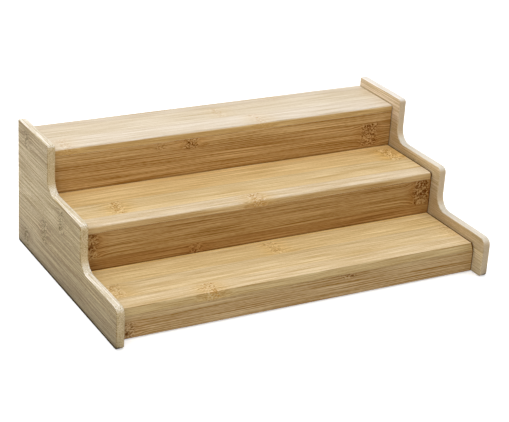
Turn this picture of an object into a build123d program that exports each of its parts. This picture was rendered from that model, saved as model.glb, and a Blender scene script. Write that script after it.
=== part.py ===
from build123d import *
import os

"""A three-step bamboo shelf riser.

Two end panels with a stepped front edge carry three treads and three risers.
Every tread lies on the top edge of its riser. The back edge of the lower two
treads butts against the face of the riser behind. The boards are glued and
held to the end panels by blind dowels.

Frame: +X along the treads, +Y towards the back, +Z up. The origin is at the
centre of the footprint, on the surface that the riser stands on.
Millimetres.
"""

# Overall
WIDTH = 400.0
DEPTH = 245.0
HEIGHT = 129.5
STEP_RISE = 44.75
STEP_RUN = 82.0
STEPS = ("bottom", "middle", "top")

# End panels
PANEL_THICK = 8.0
PANEL_EASE = 1.2          # rounding along every edge of a panel
SIDE_LIPS = (10.5, 9.0, 10.0)    # how far a panel stands above each tread, bottom to top
FRONT_LIPS = (14.8, 12.6, 12.6)  # and in front of each riser
NOSE_RADII = (8.0, 6.0, 4.0)     # the panel's convex front corners, bottom to top
COVE_RADIUS = 14.0        # hollow curve where one step runs into the next
BACK_TOP_RADIUS = 2.0
BACK_FOOT_RADIUS = 3.5
FRONT_FOOT_RADIUS = 4.0

# Boards
TREAD_THICK = 7.0
RISER_THICK = 7.0
NOSE_RADIUS = {1: 3.4, 2: 2.5}   # rounding along the front of the middle and top tread
BEVEL_RUN = 3.4           # the bottom tread's front edge slopes back this far
BEVEL_FALL = 6.2          # over this height
BEVEL_EASE = 0.5          # rounding where that slope meets the tread's top
BOARD_EASE = 0.35         # sanded arris on the boards' other long edges
END_EASE = 0.4            # and round their ends, where they meet a panel
END_GAP = 0.2             # glue gap between a board's end and a panel
FOOT_CLEARANCE = 0.8      # the bottom riser stops this far above the surface

# Dowels
DOWEL_RADIUS = 2.0
DOWEL_LENGTH = 16.0
DOWEL_IN_PANEL = 5.0
DOWEL_CHAMFER = 0.5
DOWEL_FLUTES = 8
FLUTE_RADIUS = 0.3
HOLE_PLAY = 0.05          # glue room around a dowel
HOLE_END_PLAY = 0.5       # and past each of its ends
TREAD_DOWEL_INSET = 16.0  # from a tread's front and back edge
RISER_DOWEL_INSET = 11.0  # from a riser's top and bottom edge

# Worked out
BACK = DEPTH / 2
INNER_X = WIDTH / 2 - PANEL_THICK
BOARD_LENGTH = 2 * (INNER_X - END_GAP)
TOP_TREAD = HEIGHT - SIDE_LIPS[2]
TREAD_TOPS = [TOP_TREAD - STEP_RISE * (2 - step) for step in range(3)]
FRONT = -DEPTH / 2
RISER_FACES = [FRONT + FRONT_LIPS[0] + STEP_RUN * step for step in range(3)]
HOLE_RADIUS = DOWEL_RADIUS + HOLE_PLAY


def step_outline():
    """The outline of an end panel, as (y, z) corners with the radius of each."""
    corners = [
        (BACK, 0, BACK_FOOT_RADIUS),
        (BACK, HEIGHT, BACK_TOP_RADIUS),
    ]
    for step in (2, 1, 0):
        edge = RISER_FACES[step] - FRONT_LIPS[step]
        corners.append((edge, TREAD_TOPS[step] + SIDE_LIPS[step], NOSE_RADII[step]))
        if step:
            next_rim = TREAD_TOPS[step - 1] + SIDE_LIPS[step - 1]
            corners.append((edge, next_rim, COVE_RADIUS))
    corners.append((FRONT, 0, FRONT_FOOT_RADIUS))
    return corners


def board(y_span, z_span):
    """A plain board between the end panels."""
    (y0, y1), (z0, z1) = y_span, z_span
    size = (BOARD_LENGTH, y1 - y0, z1 - z0)
    return Pos(0, (y0 + y1) / 2, (z0 + z1) / 2) * Box(*size)


def edges_along_x(shape, y, z):
    """The edge of a board that runs along X through (y, z)."""
    return shape.edges().filter_by(Axis.X).sort_by_distance((0, y, z))[0]


def ease_ends(plank):
    """Break the arris all round both ends of a board."""
    ends = plank.faces().filter_by(Axis.X)
    return chamfer(ends[0].edges() + ends[1].edges(), END_EASE)


def tread_span(step):
    back = RISER_FACES[step + 1] if step < 2 else BACK
    return RISER_FACES[step], back


def bevel_nose(plank, front, top):
    """Slope the front edge of the bottom tread and round the arris above the slope."""
    upper = plank.faces().sort_by(Axis.Z)[-1]
    nose = edges_along_x(plank, front, top)
    plank = chamfer(nose, BEVEL_RUN, BEVEL_FALL, reference=upper)
    return fillet(edges_along_x(plank, front + BEVEL_RUN, top), BEVEL_EASE)


def tread(step):
    """A tread: a bevelled or round nose at the front, every other arris eased."""
    front, back = tread_span(step)
    top = TREAD_TOPS[step]
    plank = board((front, back), (top - TREAD_THICK, top))
    if step in NOSE_RADIUS:
        plank = fillet(edges_along_x(plank, front, top), NOSE_RADIUS[step])
    else:
        plank = bevel_nose(plank, front, top)
    for y, z in ((front, top - TREAD_THICK), (back, top), (back, top - TREAD_THICK)):
        plank = chamfer(edges_along_x(plank, y, z), BOARD_EASE)
    return ease_ends(plank)


def riser_span(step):
    low = TREAD_TOPS[step - 1] - TREAD_THICK if step else FOOT_CLEARANCE
    return low, TREAD_TOPS[step] - TREAD_THICK


def riser(step):
    """A riser, from under its own tread down to the underside of the tread in front."""
    face = RISER_FACES[step]
    low, high = riser_span(step)
    plank = board((face, face + RISER_THICK), (low, high))
    for y in (face, face + RISER_THICK):
        for z in (low, high):
            plank = chamfer(edges_along_x(plank, y, z), BOARD_EASE)
    return ease_ends(plank)


def end_panel(side):
    """An end panel. side is -1 for the left one and +1 for the right one."""
    corners = step_outline()
    outline = FilletPolyline(
        *[(y, z) for y, z, radius in corners],
        radius=[radius for y, z, radius in corners],
        close=True,
    )
    inner = INNER_X if side > 0 else -WIDTH / 2
    plate = extrude(Plane.YZ.offset(inner) * make_face(outline), amount=PANEL_THICK)
    rims = plate.faces().filter_by(Axis.X)
    return fillet(rims[0].edges() + rims[1].edges(), PANEL_EASE)


def dowel_places():
    """The (y, z) of every dowel in one end, by the name of its board and its place."""
    places = {}
    for step, name in enumerate(STEPS):
        front, back = tread_span(step)
        middle = TREAD_TOPS[step] - TREAD_THICK / 2
        places[f"{name}_tread", "front"] = (front + TREAD_DOWEL_INSET, middle)
        places[f"{name}_tread", "back"] = (back - TREAD_DOWEL_INSET, middle)
        core = RISER_FACES[step] + RISER_THICK / 2
        low, high = riser_span(step)
        if step:
            places[f"{name}_riser", "lower"] = (core, low + RISER_DOWEL_INSET)
            places[f"{name}_riser", "upper"] = (core, high - RISER_DOWEL_INSET)
        else:
            places[f"{name}_riser", "centre"] = (core, (low + high) / 2)
    return places


def along_x(side, y, z, radius, length, into_panel):
    """A rod along X that reaches into_panel past a panel's inner face."""
    outer_end = side * (INNER_X + into_panel)
    centre = outer_end - side * length / 2
    return Pos(centre, y, z) * Rot(0, 90, 0) * Cylinder(radius, length)


def dowel_hole(side, y, z):
    length = DOWEL_LENGTH + 2 * HOLE_END_PLAY
    return along_x(side, y, z, HOLE_RADIUS, length, DOWEL_IN_PANEL + HOLE_END_PLAY)


def dowel(side, y, z):
    """A fluted dowel with chamfered ends."""
    pin = along_x(side, y, z, DOWEL_RADIUS, DOWEL_LENGTH, DOWEL_IN_PANEL)
    pin = chamfer(pin.edges().filter_by(GeomType.CIRCLE), DOWEL_CHAMFER)
    for place in PolarLocations(DOWEL_RADIUS, DOWEL_FLUTES).locations:
        across, up, _ = place.position
        pin -= along_x(side, y + across, z + up, FLUTE_RADIUS, DOWEL_LENGTH, DOWEL_IN_PANEL)
    return pin


def build():
    """Every piece of the riser, by name."""
    places = dowel_places()
    pieces = {}
    for step, name in enumerate(STEPS):
        pieces[f"{name}_tread"] = tread(step)
        pieces[f"{name}_riser"] = riser(step)
    for side, name in ((-1, "left"), (1, "right")):
        panel = end_panel(side)
        for (owner, place), (y, z) in places.items():
            hole = dowel_hole(side, y, z)
            panel -= hole
            pieces[owner] -= hole
            pieces[f"{owner}_{name}_{place}_dowel"] = dowel(side, y, z)
        pieces[f"{name}_end_panel"] = panel
    return pieces


os.makedirs("parts", exist_ok=True)
for name, piece in build().items():
    export_step(piece, f"parts/{name}.step")
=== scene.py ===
import math

import bpy
from mathutils import Matrix, Vector


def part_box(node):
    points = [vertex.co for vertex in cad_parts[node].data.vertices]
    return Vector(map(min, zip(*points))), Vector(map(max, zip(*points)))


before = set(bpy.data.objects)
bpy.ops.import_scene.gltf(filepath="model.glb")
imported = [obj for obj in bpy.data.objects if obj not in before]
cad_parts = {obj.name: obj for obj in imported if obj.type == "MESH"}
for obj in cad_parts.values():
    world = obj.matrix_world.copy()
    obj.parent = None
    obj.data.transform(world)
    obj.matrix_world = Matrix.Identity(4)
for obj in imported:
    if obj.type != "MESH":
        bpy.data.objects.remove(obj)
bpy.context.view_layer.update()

# ---------------------------------------------------------------- camera
#
# Angles are in degrees, lengths in metres, and the sensor and lens in millimetres. A compass angle goes
# from +Y towards +X.

CAMERA_COMPASS = 209.836
CAMERA_ELEVATION = 23.554
CAMERA_ROLL = 3.742
CAMERA_DISTANCE = 1.4995
CAMERA_TARGET = Vector((0.012735, 0.022403, 0.048154))
CLIP_START, CLIP_END = 0.05, 20.0
SENSOR = 36.0
LENS = 105.85
SHIFT = (-0.0006, -0.0154)


def direction(compass, rise):
    """The unit vector at a compass angle and at an angle above the ground, both in degrees."""
    compass = math.radians(compass)
    rise = math.radians(rise)
    return Vector((math.sin(compass) * math.cos(rise), math.cos(compass) * math.cos(rise), math.sin(rise)))


def make_camera():
    data = bpy.data.cameras.new("camera")
    data.sensor_width = SENSOR
    data.lens = LENS
    data.shift_x, data.shift_y = SHIFT
    data.clip_start = CLIP_START
    data.clip_end = CLIP_END
    camera = bpy.data.objects.new("camera", data)
    back = direction(CAMERA_COMPASS, CAMERA_ELEVATION)
    aim = (-back).to_track_quat("-Z", "Y").to_matrix().to_4x4()
    roll = Matrix.Rotation(math.radians(CAMERA_ROLL), 4, "Z")
    camera.matrix_world = Matrix.Translation(CAMERA_TARGET + back * CAMERA_DISTANCE) @ aim @ roll
    bpy.context.scene.collection.objects.link(camera)
    bpy.context.scene.camera = camera


# ---------------------------------------------------------------- light

LIGHT_AIM = Vector((0.0, 0.0, 0.05))

# Name, compass angle, angle above the ground, distance, width, height (metres) and power (watts).
SOFTBOXES = (
    ("back_low", 29.8, 20, 2.2, 2.0, 0.9, 5.4),
    ("back_left", -30, 35, 2.2, 1.4, 1.2, 31.0),
    ("top", 0, 89, 1.8, 1.6, 1.6, 14.0),
    ("top_front", -150, 65, 2.0, 1.6, 1.2, 7.2),
    ("front_low", -150, 14, 2.2, 1.8, 0.7, 18.0),
    ("front_right", 130, 35, 2.2, 1.2, 1.2, 9.6),
    ("right_low", 75, 6, 2.2, 1.8, 0.6, 8.0),
)
WORLD_STRENGTH = 0.23
WHITE = (1.0, 1.0, 1.0, 1.0)


def softbox(name, compass, rise, distance, width, height, power):
    data = bpy.data.lights.new(name, "AREA")
    data.shape = "RECTANGLE"
    data.size = width
    data.size_y = height
    data.energy = power
    outward = direction(compass, rise)
    light = bpy.data.objects.new(name, data)
    light.location = LIGHT_AIM + outward * distance
    light.rotation_euler = (-outward).to_track_quat("-Z", "Y").to_euler()
    bpy.context.scene.collection.objects.link(light)


def make_lights():
    for values in SOFTBOXES:
        softbox(*values)
    world = bpy.data.worlds.new("studio")
    world.use_nodes = True
    background = world.node_tree.nodes["Background"]
    background.inputs["Color"].default_value = WHITE
    background.inputs["Strength"].default_value = WORLD_STRENGTH
    bpy.context.scene.world = world
    bpy.context.scene.view_settings.view_transform = "Standard"


# ---------------------------------------------------------------- node helpers

# Layers of noise: name, grain size along, across and through a board (millimetres), detail, roughness
# and how far the layer swings when it is used as a swing about 0.
LAYERS = {
    "ragged": ((30, 3.5, 3.5), 2.0, 0.5, 7.0),      # the uneven outline of a knuckle
    "drift": ((220, 30, 30), 1.0, 0.5, 5.0),        # fibres that wander across the board
    "wave": ((9, 6, 6), 2.0, 0.5, 6.0),             # fibres that bend beside a knuckle
    "crush": ((2.6, 2.2, 2.2), 2.0, 0.5, 7.0),      # fibres that crumple in a knuckle
    "patch": ((70, 14, 14), 2.0, 0.5, 0.8),
    "broad": ((260, 5.0, 5.0), 1.0, 0.5, 1.0),
    "medium": ((150, 1.2, 1.2), 1.0, 0.5, 2.0),
    "fine": ((60, 0.65, 0.65), 1.0, 0.5, 2.0),
    "line": ((200, 0.9, 0.9), 1.0, 0.5, 1.0),
    "pore": ((3, 0.9, 0.9), 1.0, 0.5, 2.0),
    "flecks": ((2.2, 1.2, 1.2), 2.0, 0.7, 10.0),    # broken fibres in a knuckle
    "clumps": ((8, 4, 4), 1.0, 0.5, 2.5),           # and how they gather
}


class Graph:
    """Adds nodes to a node tree. Inputs are numbers, tuples or the sockets of other nodes."""

    def __init__(self, tree):
        self.tree = tree

    def add(self, kind, values=None, out=0, **settings):
        node = self.tree.nodes.new(kind)
        for name, value in settings.items():
            setattr(node, name, value)
        for key, value in (values or {}).items():
            self.feed(node.inputs[key], value)
        return node.outputs[out]

    def feed(self, socket, value):
        if isinstance(value, bpy.types.NodeSocket):
            self.tree.links.new(value, socket)
        else:
            socket.default_value = value

    def math(self, operation, *values, clamp=False):
        return self.add("ShaderNodeMath", dict(enumerate(values)), operation=operation, use_clamp=clamp)

    def plus(self, *values):
        total = values[0]
        for value in values[1:]:
            total = self.math("ADD", total, value)
        return total

    def minus(self, a, b):
        return self.math("SUBTRACT", a, b)

    def times(self, a, b):
        return self.math("MULTIPLY", a, b)

    def absolute(self, value):
        return self.math("ABSOLUTE", value)

    def larger(self, a, b):
        return self.math("MAXIMUM", a, b)

    def centred(self, value, gain):
        """A 0 to 1 value, shifted to swing about 0 and multiplied."""
        return self.times(self.minus(value, 0.5), gain)

    def vector_math(self, operation, *values):
        return self.add("ShaderNodeVectorMath", dict(enumerate(values)), operation=operation)

    def scaled(self, vector, x, y, z):
        """A place divided by a size along each axis."""
        return self.vector_math("MULTIPLY", vector, (1 / x, 1 / y, 1 / z))

    def noise(self, place, layer):
        """One of the LAYERS of noise at a place, from 0 to 1."""
        grain, detail, rough, _ = LAYERS[layer]
        values = {"Vector": self.scaled(place, *grain), "Scale": 1.0, "Detail": detail, "Roughness": rough}
        return self.add("ShaderNodeTexNoise", values)

    def swing(self, place, layer):
        """One of the LAYERS of noise at a place, as a swing about 0."""
        return self.centred(self.noise(place, layer), LAYERS[layer][3])

    def split(self, vector):
        return self.add("ShaderNodeSeparateXYZ", {0: vector}).node.outputs

    def join(self, x, y, z):
        return self.add("ShaderNodeCombineXYZ", {0: x, 1: y, 2: z})

    def ease(self, value, low, high, to_low=0.0, to_high=1.0):
        """A smooth step from to_low to to_high while value goes from low to high."""
        values = {0: value, 1: low, 2: high, 3: to_low, 4: to_high}
        return self.add("ShaderNodeMapRange", values, interpolation_type="SMOOTHSTEP")

    def mix(self, factor, a, b):
        return self.add("ShaderNodeMix", {0: factor, 6: a, 7: b}, 2, data_type="RGBA")


def new_group(name, inputs, outputs):
    """An empty node group, with its Graph, its input sockets and the Group Output node."""
    tree = bpy.data.node_groups.new(name, "ShaderNodeTree")
    for label in inputs:
        kind = "NodeSocketVector" if label == "Place" else "NodeSocketFloat"
        tree.interface.new_socket(name=label, in_out="INPUT", socket_type=kind)
    for label in outputs:
        tree.interface.new_socket(name=label, in_out="OUTPUT", socket_type="NodeSocketFloat")
    return tree, Graph(tree), tree.nodes.new("NodeGroupInput").outputs, tree.nodes.new("NodeGroupOutput")


# ---------------------------------------------------------------- floor and backdrop
#
# Lengths are in metres.

PAPER_ROUGHNESS = 0.9
FLOOR_COLOUR, BACKDROP_COLOUR = 0.9, 0.0
FLOOR_REACH, FLOOR_HEIGHT = 6.0, -0.0002
FLOOR_GLOW = 0.36               # the floor is lit from below too, as a photographer's light table is
FAR_GLOW = 1.0                  # and fades to the white of the backdrop
FADE_START, FADE_END = 0.9, 3.0
BACKDROP_RADIUS, BACKDROP_SIDES = 5.5, 48
BACKDROP_FOOT, BACKDROP_TOP = -0.01, 5.0


def stage_piece(name, corners, faces, material):
    mesh = bpy.data.meshes.new(name)
    mesh.from_pydata(corners, [], faces)
    mesh.materials.append(material)
    piece = bpy.data.objects.new(name, mesh)
    piece.visible_diffuse = False
    bpy.context.scene.collection.objects.link(piece)
    return piece


def paper(name, grey):
    """Matt paper that also glows: the material and its shader."""
    material = bpy.data.materials.new(name)
    material.use_nodes = True
    shader = material.node_tree.nodes["Principled BSDF"]
    shader.inputs["Base Color"].default_value = (grey, grey, grey, 1)
    shader.inputs["Roughness"].default_value = PAPER_ROUGHNESS
    shader.inputs["Specular IOR Level"].default_value = 0.0
    shader.inputs["Emission Color"].default_value = WHITE
    return material, shader


def make_floor():
    material, shader = paper("floor_paper", FLOOR_COLOUR)
    g = Graph(material.node_tree)
    distance = g.add("ShaderNodeVectorMath", {0: g.add("ShaderNodeNewGeometry")}, 1, operation="LENGTH")
    g.feed(shader.inputs["Emission Strength"], g.ease(distance, FADE_START, FADE_END, FLOOR_GLOW, FAR_GLOW))
    signs = ((-1, -1), (1, -1), (1, 1), (-1, 1))
    corners = [(x * FLOOR_REACH, y * FLOOR_REACH, FLOOR_HEIGHT) for x, y in signs]
    stage_piece("floor", corners, [(0, 1, 2, 3)], material)


def make_backdrop():
    """A white wall all round, which the camera sees and the object doesn't."""
    material, shader = paper("backdrop_paper", BACKDROP_COLOUR)
    shader.inputs["Emission Strength"].default_value = FAR_GLOW
    angles = [math.tau * i / BACKDROP_SIDES for i in range(BACKDROP_SIDES)]
    ring = [(BACKDROP_RADIUS * math.cos(a), BACKDROP_RADIUS * math.sin(a)) for a in angles]
    corners = [(x, y, z) for z in (BACKDROP_FOOT, BACKDROP_TOP) for x, y in ring]
    faces = []
    for i in range(BACKDROP_SIDES):
        after = (i + 1) % BACKDROP_SIDES
        faces.append((i, after, after + BACKDROP_SIDES, i + BACKDROP_SIDES))
    wall = stage_piece("backdrop", corners, faces, material)
    wall.visible_glossy = False
    wall.visible_shadow = False


# ---------------------------------------------------------------- the figure of bamboo
#
# A board is glued up from strips of split bamboo. Every place in these groups is (along the grain,
# across it, through the board) in millimetres. A knuckle is the joint of the bamboo stem: a band
# across one strip where the fibres break up and the ones beside it bend.

HALO_REACH = 26.0               # how far along the grain a knuckle disturbs the fibres
BEND_SHARE = 0.28               # how strongly those fibres pinch towards the strip's middle
CORE_SHARE = 0.3                # the part of a knuckle's half length that is broken up in full
BORDER = (-3.0, 0.5)            # where a knuckle fades out, measured from the edge of its strip
BORDER_RAGGED = 0.4             # how uneven that is, as a share of its uneven outline

LINE_RANGE = (0.56, 0.68)       # the noise values between which a dark fibre line comes up
STRIP_LEAN = 0.02               # how far a strip's fibres may lean from the board's length
STRIP_JUMP, DEPTH_JUMP = 900.0, 60.0    # how far apart in the noise strips are cut from
BOARD_JUMP = 71.0                       # and boards
CHANCE_PLANE = 3.7                      # the plane of white noise that a strip's chances come from
SEAM_CORE, SEAM_HALF_WIDTH = 0.15, 0.7  # how far from its middle a glue line starts to fade, and is gone

KNUCKLE_TOTALS = ("Mask", "Halo", "Bend")


def knuckle_group():
    """Adds one knuckle's mask, halo and fibre bend to those of the knuckles before it."""
    inputs = ("Place", "Along", "Across", "Half length", "Half width", "Strength", "Lean", *KNUCKLE_TOTALS)
    tree, g, given, result = new_group("knuckle", inputs, KNUCKLE_TOTALS)
    along, across, _ = g.split(given["Place"])
    off_middle = g.minus(across, given["Across"])
    ragged = g.swing(given["Place"], "ragged")
    centre_line = g.math("MULTIPLY_ADD", given["Lean"], off_middle, given["Along"])
    from_line = g.absolute(g.plus(g.minus(along, centre_line), ragged))
    from_edge = g.plus(g.minus(g.absolute(off_middle), given["Half width"]), g.times(ragged, BORDER_RAGGED))
    window = g.times(g.ease(from_edge, *BORDER, 1.0, 0.0), given["Strength"])
    core = g.ease(from_line, g.times(given["Half length"], CORE_SHARE), given["Half length"], 1.0, 0.0)
    halo = g.times(g.ease(from_line, 0.0, HALO_REACH, 1.0, 0.0), window)
    bend = g.times(g.times(halo, off_middle), -BEND_SHARE)
    for label, value in zip(KNUCKLE_TOTALS, (g.times(core, window), halo, bend)):
        g.feed(result.inputs[label], g.plus(value, given[label]))
    return tree


def fibre_place(g, given):
    """Where in the noise a strip's fibres are drawn: straight, but for a lean, a wander and the knuckles."""
    along, across, through = g.split(given["Place"])
    chance_place = g.join(given["Strip"], given["Seed"], CHANCE_PLANE)
    chances = g.split(g.add("ShaderNodeTexWhiteNoise", {"Vector": chance_place}, 1))
    run = g.plus(g.math("DIVIDE", along, given["Length"]), g.times(chances[0], STRIP_JUMP))
    shifted = g.join(run, across, g.plus(through, g.times(given["Seed"], BOARD_JUMP)))
    drift = g.swing(shifted, "drift")
    lean = g.times(g.centred(chances[2], STRIP_LEAN), along)
    wave = g.times(g.swing(shifted, "wave"), given["Halo"])
    crush = g.times(g.swing(shifted, "crush"), given["Mask"])
    bent = g.plus(across, drift, lean, wave, crush, given["Bend"])
    fibres = g.join(run, bent, g.plus(through, g.times(chances[1], DEPTH_JUMP)))
    waved = g.join(along, g.plus(across, wave), through)
    return fibres, waved


def figure_group():
    """The figure of bamboo: streaks, dark fibre lines, fine fibre and the broken fibres of a knuckle."""
    inputs = ("Place", "Strip", "Seed", "Length", *KNUCKLE_TOTALS)
    outputs = ("Broad", "Medium", "Fine", "Line", "Pore", "Crumble")
    tree, g, given, result = new_group("bamboo_figure", inputs, outputs)
    fibres, waved = fibre_place(g, given)
    values = {
        "Broad": g.plus(g.swing(fibres, "broad"), g.swing(fibres, "patch")),
        "Medium": g.swing(fibres, "medium"),
        "Fine": g.swing(fibres, "fine"),
        "Line": g.ease(g.noise(fibres, "line"), *LINE_RANGE),
        "Pore": g.swing(fibres, "pore"),
        "Crumble": g.times(g.plus(g.swing(waved, "flecks"), g.swing(waved, "clumps")), given["Mask"]),
    }
    for label in outputs:
        g.feed(result.inputs[label], values[label])
    return tree


GROUPS = {"knuckle": knuckle_group(), "figure": figure_group()}


def use_group(g, name, values):
    node = g.tree.nodes.new("ShaderNodeGroup")
    node.node_tree = GROUPS[name]
    for label, value in values.items():
        g.feed(node.inputs[label], value)
    return node.outputs


def add_knuckles(g, place, knuckles):
    """Sums the knuckles of a board, each (along, low edge, high edge, half length, strength, lean)."""
    totals = {label: 0.0 for label in KNUCKLE_TOTALS}
    for along, low, high, half_length, strength, lean in knuckles:
        values = {"Place": place, "Along": along, "Across": (low + high) / 2, "Half length": half_length,
                  "Half width": (high - low) / 2, "Strength": strength, "Lean": lean, **totals}
        sockets = use_group(g, "knuckle", values)
        totals = {label: sockets[label] for label in KNUCKLE_TOTALS}
    return totals


def add_strips(g, across, strips):
    """The number and tint of the strip at a place, and the glue line between two strips."""
    number, tint, seam = 0.0, strips[0][1], 0.0
    for (_, tint_before), (edge, tint_after) in zip(strips, strips[1:]):
        past = g.math("GREATER_THAN", across, edge)
        number = g.plus(past, number)
        change = [after - before for before, after in zip(tint_before, tint_after)]
        tint = g.vector_math("MULTIPLY_ADD", g.join(past, past, past), change, tint)
        near = g.absolute(g.minus(across, edge))
        seam = g.larger(g.ease(near, SEAM_CORE, SEAM_HALF_WIDTH, 1.0, 0.0), seam)
    return number, tint, seam


# ---------------------------------------------------------------- the colours of bamboo
#
# Colours are linear, and lengths are in millimetres, apart from the bump's, which is in metres. The streaks
# swing a board's mean colour up and down along hue, most in blue and least in red. Amber is the stain
# round a knuckle, as a multiple of the mean, and burnt a knuckle's dark fleck. Length is how far the
# fibres are drawn out. The rest says how strongly each part of the figure shows, and edge how much of it
# is left on the board's edges.

WOODS = {
    "tread": {
        "hue": (0.72, 1.0, 1.60), "swing": 0.215, "amber": (0.96, 0.84, 0.56), "burnt": (0.42, 0.21, 0.05),
        "length": 0.9, "broad": 0.6, "medium": 0.9, "fine": 2.2, "line": 0.2, "pore": 0.35,
        "fleck": 0.8, "edge": 1.0},
    "riser": {
        "hue": (0.70, 1.0, 1.70), "swing": 0.31, "amber": (0.82, 0.66, 0.42), "burnt": (0.14, 0.050, 0.009),
        "length": 1.8, "broad": 0.75, "medium": 0.5, "fine": 3.4, "line": 0.35, "pore": 0.8,
        "fleck": 1.0, "edge": 1.0},
    "panel": {
        "hue": (0.78, 1.0, 1.60), "swing": 0.25, "amber": (0.81, 0.74, 0.60), "burnt": (0.19, 0.14, 0.060),
        "length": 1.0, "broad": 0.8, "medium": 0.65, "fine": 5.8, "line": 0.8, "pore": 1.7,
        "fleck": 1.1, "edge": 0.35},
}
AXES = {"tread": "XYZ", "riser": "XZY", "panel": "YZX"}     # the axes along, across and through a board
PLAIN = (1.0, 1.0, 1.0)
HALF = (0.5, 0.5, 0.5)
MILLIMETRE = 0.001

LINE_DEPTH = 1.6                # how deep a dark fibre line and a glue line are, in swings
SEAM_SHARE = 0.35               # how strongly a glue line shows
STAIN_SHARE = 0.8               # how strongly the stain round a knuckle shows
PALE_FLECK = 1.2                # how pale a knuckle's pale fleck is, in swings
EDGE_LIFT = 1.03                # a board's edges against its mean, where it has no edge colour of its own
FACE_TURN = (0.35, 0.9)         # the normals, through a board, between which its edge becomes its broad face
TOP_TURN = (0.3, 0.9)           # the upward normals between which a panel's edge becomes its top edge, painted lighter as a highlight

# The colour of the painted shade in the joints at a board's ends and low on a riser.
JOINT_SHADE_COLOUR = (0.09, 0.027, 0.0)
JOINT_FADE = 0.3                # the painted shade in the joint at a board's end comes up over this length
CONTACT_START, CONTACT_END, CONTACT_SHADE = 0.3, 2.0, 0.55      # painted shade low on a riser, above what it rises from
# The colour of the painted shade on a panel near the ground.
FOOT_SHADE_COLOUR = (0.058, 0.038, 0.013)
FOOT_TOP, FOOT_SHADE = 19.0, 0.40                               # painted shade above the ground, on a panel
SOLE_START, SOLE_TOP, SOLE_SHADE = 1.8, 3.6, 0.92               # and nearest to it
SIDE_MARGIN, INNER_SHARE = 1.0, 0.15    # a panel's inner side gets this share of that shade
FRONT_SPAN = (-20.0, 75.0)              # where along the depth the painted shade at a panel's front fades out

SPECULAR = 0.3                          # the lacquer's, which the painted shade in the joints and the dark flecks lose
ROUGHNESS = 0.42
FINE_ROUGHNESS, DARK_ROUGHNESS = -0.08, 0.12            # what fine fibre and dark flecks add to it
DARK_RELIEF = -0.6                                      # how deep dark flecks lie among the fibres
BUMP_STRENGTH, BUMP_DISTANCE = 0.25, 0.00015


def multiplied(g, colour, tint):
    return g.vector_math("MULTIPLY", colour, tint)


def solid(colour):
    return (*colour, 1)


def facing(g, axis):
    return g.split(g.add("ShaderNodeTexCoord", out="Normal"))["XYZ".index(axis)]


def shade_of(look, depth):
    """The multiple of the mean colour at a depth of -1 (deep) to 1 (pale)."""
    return [1 + depth * look["swing"] * h for h in look["hue"]]


def figured(g, look, figure, contrast, seam):
    """The streaks, fibres and glue lines as multiples of the board's mean colour."""
    dark_line = solid(shade_of(look, -LINE_DEPTH))
    parts = [g.times(figure[label], look[label.lower()]) for label in ("Broad", "Medium", "Fine", "Pore")]
    swing = g.times(g.plus(*parts), contrast)
    swing = g.times(g.larger(g.math("MINIMUM", swing, 1.0), -1.0), 2 * look["swing"])
    ratio = g.vector_math("MULTIPLY_ADD", g.join(swing, swing, swing), look["hue"], PLAIN)
    ratio = g.mix(g.times(g.times(figure["Line"], look["line"]), contrast), ratio, dark_line)
    return g.mix(g.times(g.times(seam, SEAM_SHARE), contrast), ratio, dark_line)


def body_colour(g, board, parts, tint, turned):
    """The colour of a board's faces and edges, without its figure. It holds painted light by which way they
    face: painted sheen on tread tops and panel top edges, painted shade on tread noses and a panel's front.
    """
    body = multiplied(g, board["mean"], tint)
    # Painted shade: a panel is darker towards its front.
    if "front_shade" in board:
        front = g.mix(g.ease(parts["Y"], *FRONT_SPAN), solid(board["front_shade"]), WHITE)
        body = multiplied(g, body, front)
    # A tread's nose takes its edge colour, painted shade against the painted sheen of its top.
    edge = board.get("edge") or [c * EDGE_LIFT for c in board["mean"]]
    body = g.mix(turned, body, solid(edge))
    # Painted highlight: a panel's edges are lighter where they face up.
    if "top_edge_highlight" in board:
        half_tint = g.vector_math("MULTIPLY_ADD", tint, HALF, HALF)
        body = g.mix(g.ease(facing(g, "Z"), *TOP_TURN), body, multiplied(g, board["top_edge_highlight"], half_tint))
    return body


def add_flecks(g, look, colour, body, halo, crumble):
    """The stain and the broken fibres of the knuckles on a colour, and how dark those fibres are."""
    stain = g.math("MULTIPLY", halo, STAIN_SHARE, clamp=True)
    colour = multiplied(g, colour, g.mix(stain, WHITE, solid(look["amber"])))
    dark = g.math("MULTIPLY", crumble, look["fleck"], clamp=True)
    light = g.math("MULTIPLY", crumble, -1.0, clamp=True)
    colour = g.mix(dark, colour, solid(look["burnt"]))
    return g.mix(light, colour, multiplied(g, body, shade_of(look, PALE_FLECK))), dark


def reach(node, axis):
    """The lowest and highest place of a CAD node along an axis."""
    low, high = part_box(node)
    index = "XYZ".index(axis)
    return low[index] / MILLIMETRE, high[index] / MILLIMETRE


def panel_shade(g, node, parts):
    """How dark the painted shade on an end panel is near the ground, less so on its inner side."""
    inner, outer = sorted(abs(x) for x in reach(node, "X"))
    shade = g.plus(g.ease(parts["Z"], 0.0, FOOT_TOP, FOOT_SHADE, 0.0),
                   g.ease(parts["Z"], SOLE_START, SOLE_TOP, SOLE_SHADE, 0.0))
    side = g.ease(g.absolute(parts["X"]), inner + SIDE_MARGIN, outer - SIDE_MARGIN, INNER_SHARE, 1.0)
    return g.times(shade, side)


def board_shade(g, node, board, parts):
    """How dark the painted shade on a board is in the joints at its ends, and on a riser low down, by the
    tread before it.
    """
    shade = 0.0
    if "joint" in board:
        start = reach(node, "X")[1] - board["joint"]
        shade = g.ease(g.absolute(parts["X"]), start, start + JOINT_FADE)
    if "rises_from" in board:
        ground = reach(board["rises_from"], "Z")[1] if board["rises_from"] else 0.0
        contact = g.ease(parts["Z"], ground + CONTACT_START, ground + CONTACT_END, CONTACT_SHADE, 0.0)
        shade = g.larger(shade, contact)
    return shade


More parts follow.
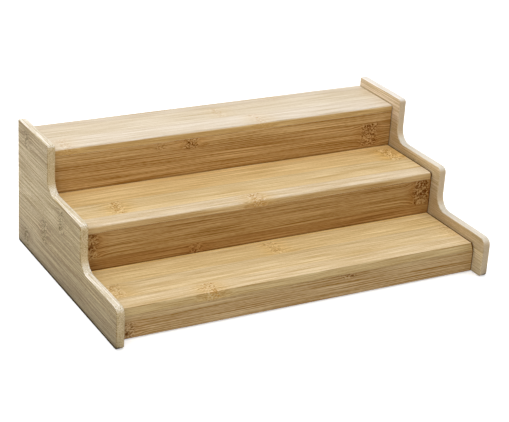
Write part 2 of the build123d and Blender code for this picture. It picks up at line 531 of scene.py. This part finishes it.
def add_surface(g, shader, figure, dark, dull):
    """The sheen of the lacquer and the relief of the fibres. dull is where the sheen is lost, if anywhere."""
    specular = shader.inputs["Specular IOR Level"]
    specular.default_value = SPECULAR
    if dull is not None:
        g.feed(specular, g.ease(dull, 0.0, 1.0, SPECULAR, 0.0))
    roughness = g.plus(ROUGHNESS, g.times(figure["Fine"], FINE_ROUGHNESS), g.times(dark, DARK_ROUGHNESS))
    g.feed(shader.inputs["Roughness"], roughness)
    relief = g.plus(figure["Fine"], figure["Medium"], g.times(dark, DARK_RELIEF))
    values = {"Strength": BUMP_STRENGTH, "Distance": BUMP_DISTANCE, "Height": relief}
    g.feed(shader.inputs["Normal"], g.add("ShaderNodeBump", values))


def bamboo(name, board, node=None):
    """A bamboo material for one board of BOARDS, which is that CAD node, or for the dowels."""
    material = bpy.data.materials.new(name)
    material.use_nodes = True
    g = Graph(material.node_tree)
    shader = material.node_tree.nodes["Principled BSDF"]
    look = WOODS[board["wood"]]
    axes = AXES[board["wood"]]

    metres = g.add("ShaderNodeTexCoord", out="Object")
    parts = g.split(g.scaled(metres, MILLIMETRE, MILLIMETRE, MILLIMETRE))
    along, across, through = [parts["XYZ".index(axis)] for axis in axes]
    place = g.join(along, across, through)
    number, tint, seam = add_strips(g, across, board["strips"])
    totals = add_knuckles(g, place, board["knuckles"])
    values = {"Place": place, "Strip": number, "Seed": board["seed"], "Length": look["length"], **totals}
    figure = use_group(g, "figure", values)

    # Where the edge colour starts; on the bottom tread it brings the nose's painted shade up to its rounding.
    turned = g.ease(g.absolute(facing(g, axes[2])), *board.get("turn", FACE_TURN), 1.0, 0.0)
    contrast = g.ease(turned, 0.0, 1.0, board["contrast"], board["contrast"] * look["edge"])
    body = body_colour(g, board, parts, tint, turned)
    colour = multiplied(g, figured(g, look, figure, contrast, seam), body)
    colour, dark = add_flecks(g, look, colour, body, totals["Halo"], figure["Crumble"])
    # Painted shade: near the ground on a panel; in the joints, and low on a riser, on a board.
    if board["wood"] == "panel":
        shade, shade_colour = panel_shade(g, node, parts), FOOT_SHADE_COLOUR
    else:
        shade, shade_colour = board_shade(g, node, board, parts), JOINT_SHADE_COLOUR
    g.feed(shader.inputs["Base Color"], g.mix(shade, colour, solid(shade_colour)))
    dull = g.larger(shade, dark) if node else None
    add_surface(g, shader, figure, dark, dull)
    return material


# ---------------------------------------------------------------- the boards
#
# Strips are (low edge, tint of the mean colour) from the lowest or foremost strip up. The first has no low
# edge. A strip's tint holds its own tone and also painted light and shade, following how light falls across
# the board. Knuckles are (along, low edge, high edge, half length, strength, lean). Joint is how far from a
# board's ends the painted shade in its joints starts, and rises_from the tread above which a riser shows,
# or None for the ground, where the painted shade low on the riser starts. Turn replaces FACE_TURN; on the
# bottom tread it brings the painted shade of the nose up to where its rounding starts. A panel's front tint
# is painted shade, darker towards its front. A tread's mean is its top's colour and edge its nose's: the top
# is painted paler and greyer, a painted sheen, the top tread's most. A panel's top edge colour is a painted
# highlight.

DOWEL = {
    "wood": "tread", "seed": 31.1, "contrast": 1.0,
    "mean": (0.64, 0.49, 0.28),
    "strips": ((None, PLAIN),),
    "knuckles": ()}

BOARDS = {
    "top_tread": {
        "wood": "tread", "seed": 1.3, "contrast": 0.7, "joint": 0.7,
        "mean": (0.563, 0.465, 0.336), "edge": (0.500, 0.318, 0.117),
        "strips": ((None, (1.12, 1.14, 1.20)), (82.5, (1.07, 1.07, 1.05)), (111, (1.0, 0.98, 0.96))),
        "knuckles": ((-175, 50, 82.5, 9, 0.4, 0.0), (36, 50, 82.5, 8, 0.4, 0.0),
                     (5, 82.5, 111, 8, 0.35, 0.0), (78, 111, 125, 6, 0.35, 0.0))},
    "middle_tread": {
        "wood": "tread", "seed": 2.3, "contrast": 0.9, "joint": 1.7,
        "mean": (0.637, 0.470, 0.241), "edge": (0.492, 0.325, 0.137),
        "strips": ((None, (1.02, 1.09, 1.38)), (-8.5, (1.045, 1.045, 1.05)), (20.5, (1.14, 1.08, 0.95)),
                   (49, (1.22, 1.12, 0.92))),
        "knuckles": ((-10, -34, -8.5, 10, 1.0, 0.0), (-145, -8.5, 20.5, 9, 0.9, 0.2),
                     (177, 15, 49, 9, 1.3, 0.0))},
    "bottom_tread": {
        "wood": "tread", "seed": 3.3, "contrast": 0.95, "joint": 1.7, "turn": (0.60, 0.98),
        "mean": (0.637, 0.477, 0.252), "edge": (0.460, 0.319, 0.137),
        "strips": ((None, (1.02, 1.03, 1.12)), (-85.5, (1.05, 1.04, 1.04)), (-57.5, (1.145, 1.11, 1.0)),
                   (-29, (1.24, 1.14, 0.85))),
        "knuckles": ((-97, -110, -85.5, 10, 0.9, 0.0), (-178, -85.5, -57.5, 9, 0.8, 0.0),
                     (185, -85.5, -57.5, 7, 0.4, 0.0), (0, -57.5, -29, 10, 0.8, 0.0))},
    "top_riser": {
        "wood": "riser", "seed": 7.3, "contrast": 0.9, "joint": 0.9, "rises_from": "middle_tread",
        "mean": (0.412, 0.235, 0.079),
        "strips": ((None, (0.95, 0.93, 0.89)), (76, (0.94, 0.92, 0.88)), (103, (1.03, 1.06, 1.08))),
        "knuckles": ((165, 76, 103, 14, 1.2, 0.0), (-44, 101, 114.5, 11, 1.4, 0.0),
                     (-78, 103, 114, 9, 0.4, 0.0))},
    "middle_riser": {
        "wood": "riser", "seed": 8.3, "contrast": 0.85, "joint": 1.1, "rises_from": "bottom_tread",
        "mean": (0.340, 0.186, 0.0565),
        "strips": ((None, (0.875, 0.79, 0.665)), (41, (1.025, 1.05, 1.08))),
        "knuckles": ((-76, 29, 41, 10, 0.9, 0.0), (-186, 41, 68, 12, 1.5, 0.0),
                     (181, 40, 68, 12, 1.9, 0.0))},
    "bottom_riser": {
        "wood": "riser", "seed": 9.3, "contrast": 0.85, "joint": 1.2, "rises_from": None,
        "mean": (0.463, 0.300, 0.128),
        "strips": ((None, (1.0, 0.98, 0.96)), (18.1, (0.96, 0.95, 0.91))),
        "knuckles": ((-182, 0, 18.1, 9, 0.8, 0.0), (46, 17, 28, 12, 0.6, 0.0))},
    "left_end_panel": {
        "wood": "panel", "seed": 17.3, "contrast": 1.0, "front_shade": (0.835, 0.81, 0.69),
        "mean": (0.530, 0.400, 0.193), "edge": (0.540, 0.413, 0.230), "top_edge_highlight": (0.705, 0.628, 0.503),
        "strips": ((None, (0.72, 0.68, 0.59)), (27.5, (0.88, 0.85, 0.78)), (54, (1.02, 1.02, 1.02)),
                   (80.5, (0.96, 0.94, 0.91)), (107, (0.89, 0.86, 0.82))),
        "knuckles": ((99, 3, 24, 8, 1.5, 0.0), (51, 27, 53, 9, 1.35, -0.15), (9, 54, 80.5, 9, 0.9, 0.0),
                     (98, 107, 126, 8, 1.0, 0.1))},
    "right_end_panel": {
        "wood": "panel", "seed": 18.3, "contrast": 0.28,
        "mean": (0.560, 0.430, 0.250), "edge": (0.565, 0.438, 0.283), "top_edge_highlight": (0.675, 0.617, 0.515),
        "strips": ((None, (1.28, 1.31, 1.33)), (26, (0.92, 0.88, 0.82)), (53, (1.0, 1.0, 1.0)),
                   (79, (1.02, 1.01, 1.00)), (106, (1.13, 1.14, 1.27))),
        "knuckles": ((-60, 0, 26, 8, 0.45, 0.0), (70, 26, 53, 8, 0.5, 0.0), (5, 53, 79, 9, 0.5, 0.0),
                     (100, 79, 106, 8, 0.45, 0.0))},
}


def paint_boards():
    dowel_wood = bamboo("dowel_wood", DOWEL)
    for name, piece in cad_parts.items():
        piece.data.materials.clear()
        if name in BOARDS:
            piece.data.materials.append(bamboo(f"{name}_bamboo", BOARDS[name], name))
        else:
            piece.data.materials.append(dowel_wood)


make_camera()
make_lights()
make_floor()
make_backdrop()
paint_boards()
